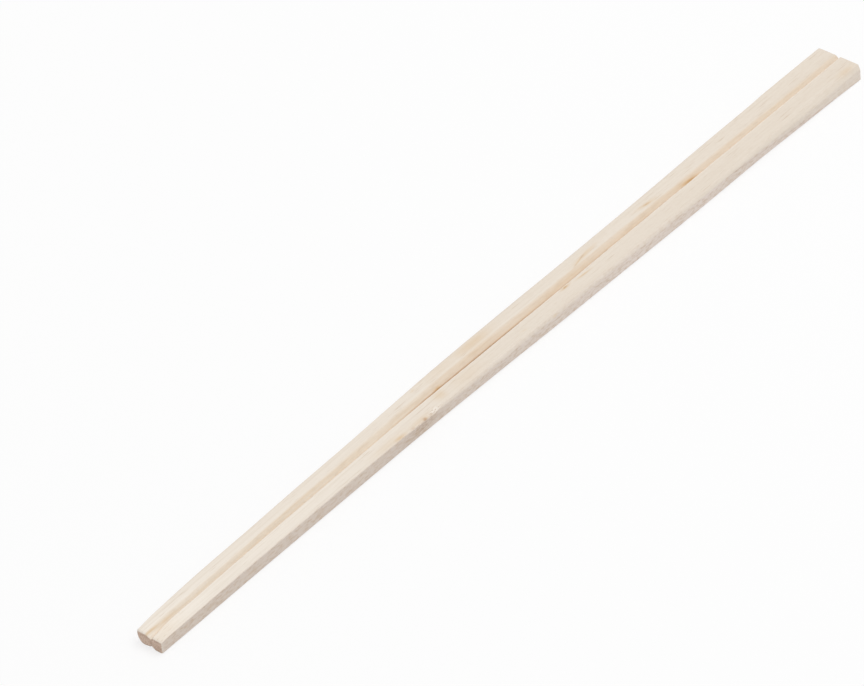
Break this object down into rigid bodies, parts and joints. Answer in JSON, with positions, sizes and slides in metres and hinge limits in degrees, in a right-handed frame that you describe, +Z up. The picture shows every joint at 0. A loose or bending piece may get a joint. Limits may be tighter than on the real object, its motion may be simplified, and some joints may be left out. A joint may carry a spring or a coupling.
{
  "type": "pair of disposable wooden chopsticks",
  "caption": "Pale wooden chopsticks, tapered and grooved, split from the tip and joined at the butt, to be pulled apart and used once.",
  "frame": {"origin": "middle of the bounding box, on the surface that the sticks lie on", "axes": "+X along the sticks from tip to butt, +Y across them towards the first stick, +Z up through their thickness"},
  "size_m": [0.203, 0.01, 0.0032],
  "materials": {
    "pale_wood": "planed, unvarnished"
  },
  "bodies": {
    "root": {"chopstick_pair": "pale_wood"}
  },
  "joints": []
}
